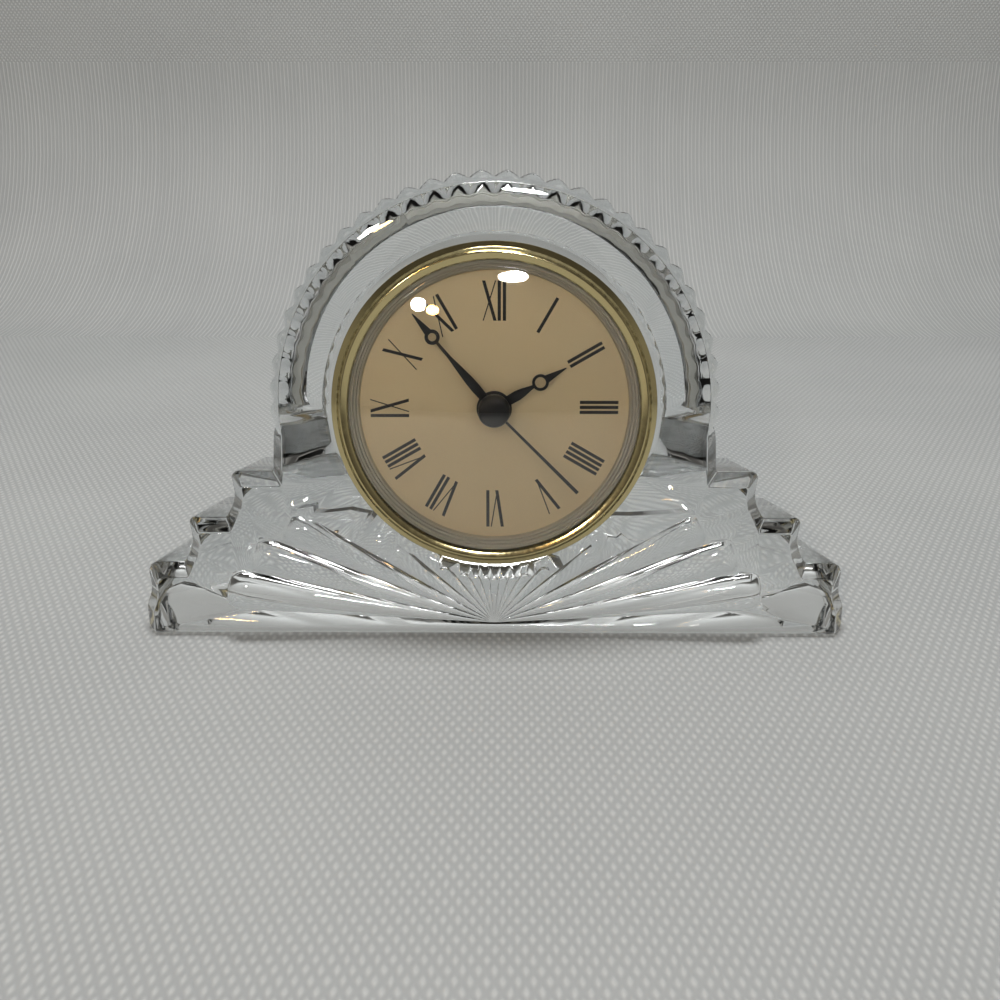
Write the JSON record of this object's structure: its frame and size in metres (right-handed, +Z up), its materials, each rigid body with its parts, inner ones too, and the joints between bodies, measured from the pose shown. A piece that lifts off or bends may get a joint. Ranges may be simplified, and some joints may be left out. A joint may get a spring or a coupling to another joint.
{
  "type": "crystal desk clock",
  "caption": "Clear crystal mantel-shaped desk clock with stepped sides, ribbed arch and fan relief, holding a round quartz insert with gold bezel, domed lens and ringed hands.",
  "frame": {"origin": "middle of the flat underside of the crystal body, on the table", "axes": "+Z up, the leaning front face looks towards -Y, and +X is on the viewer's right when the dial is looked at"},
  "size_m": [0.1944, 0.0395, 0.1215],
  "materials": {
    "crystal": "clear pressed lead crystal, fire polished",
    "brass": "polished, gold coloured",
    "lens": "clear domed mineral glass",
    "silver": "turned, satin silver",
    "dial": "champagne lacquer, fine matt",
    "black_plastic": "moulded, fine texture",
    "rubber": "translucent white silicone rubber",
    "white_plastic": "moulded acetal",
    "steel": "nickel plated",
    "board": "green printed circuit board",
    "copper": "enamelled copper wire",
    "hand_black": "black satin lacquer",
    "magnet": "bonded magnet, dark grey",
    "cell": "printed metal sleeve, plain"
  },
  "bodies": {
    "crystal": {"crystal_body": "crystal"},
    "insert": {"bezel_ring": "brass", "lens": "lens", "inner_ring": "silver", "dial_plate": "dial", "case_cup": "black_plastic", "rubber_band": "rubber", "front_plate": "black_plastic", "middle_plate": "white_plastic", "rear_plate": "white_plastic", "plate_screws": "steel", "circuit_board": "board", "oscillator_can": "steel", "coil": "copper", "stator": "steel", "positive_contact": "steel", "negative_contact": "steel"},
    "seconds": {"seconds_wheel": "white_plastic", "seconds_hand": "hand_black"},
    "rotor": {"rotor": "magnet"},
    "step": {"step_wheel": "white_plastic"},
    "third": {"third_wheel": "white_plastic"},
    "centre": {"centre_wheel": "brass"},
    "minute": {"minute_pinion": "brass", "minute_hand": "hand_black"},
    "motion": {"motion_wheel": "white_plastic"},
    "hour": {"hour_wheel": "white_plastic", "hour_hand": "hand_black"},
    "knob": {"setting_knob": "black_plastic"},
    "battery": {"battery": "cell"}
  },
  "joints": [
    {"name": "insert_slide", "type": "slide", "parent": "crystal", "child": "insert", "axis": [0, -0.9912, 0.1323], "range_m": [0, 0.045]},
    {"name": "seconds_turn", "type": "hinge", "parent": "insert", "child": "seconds", "pos_m": [0, -0.01112, 0.06286], "axis": [0, -0.9912, 0.1323], "continuous": true},
    {"name": "rotor_turn", "type": "hinge", "parent": "insert", "child": "rotor", "pos_m": [-0.0142, -0.01112, 0.06286], "axis": [0, -0.9912, 0.1323], "continuous": true},
    {"name": "step_turn", "type": "hinge", "parent": "insert", "child": "step", "pos_m": [-0.0072, -0.01112, 0.06286], "axis": [0, -0.9912, 0.1323], "continuous": true},
    {"name": "third_turn", "type": "hinge", "parent": "insert", "child": "third", "pos_m": [0, -0.00969, 0.07357], "axis": [0, -0.9912, 0.1323], "continuous": true},
    {"name": "centre_turn", "type": "hinge", "parent": "insert", "child": "centre", "pos_m": [0, -0.01112, 0.06286], "axis": [0, -0.9912, 0.1323], "continuous": true},
    {"name": "minute_turn", "type": "hinge", "parent": "insert", "child": "minute", "pos_m": [0, -0.01112, 0.06286], "axis": [0, -0.9912, 0.1323], "continuous": true},
    {"name": "motion_turn", "type": "hinge", "parent": "insert", "child": "motion", "pos_m": [0.008, -0.01112, 0.06286], "axis": [0, -0.9912, 0.1323], "continuous": true},
    {"name": "hour_turn", "type": "hinge", "parent": "insert", "child": "hour", "pos_m": [0, -0.01112, 0.06286], "axis": [0, -0.9912, 0.1323], "continuous": true},
    {"name": "knob_turn", "type": "hinge", "parent": "insert", "child": "knob", "pos_m": [0.0164, -0.01112, 0.06286], "axis": [0, -0.9912, 0.1323], "continuous": true},
    {"name": "battery_slide", "type": "slide", "parent": "insert", "child": "battery", "axis": [0, 0.9912, -0.1323], "range_m": [0, 0.03]}
  ],
  "couplings": [
    {"joint": "step_turn", "follows": "seconds_turn", "ratio": -5},
    {"joint": "rotor_turn", "follows": "seconds_turn", "ratio": 30},
    {"joint": "third_turn", "follows": "seconds_turn", "ratio": -0.125},
    {"joint": "centre_turn", "follows": "seconds_turn", "ratio": 0.016667},
    {"joint": "motion_turn", "follows": "minute_turn", "ratio": -0.33333},
    {"joint": "hour_turn", "follows": "minute_turn", "ratio": 0.083333},
    {"joint": "knob_turn", "follows": "minute_turn", "ratio": 0.83333}
  ]
}
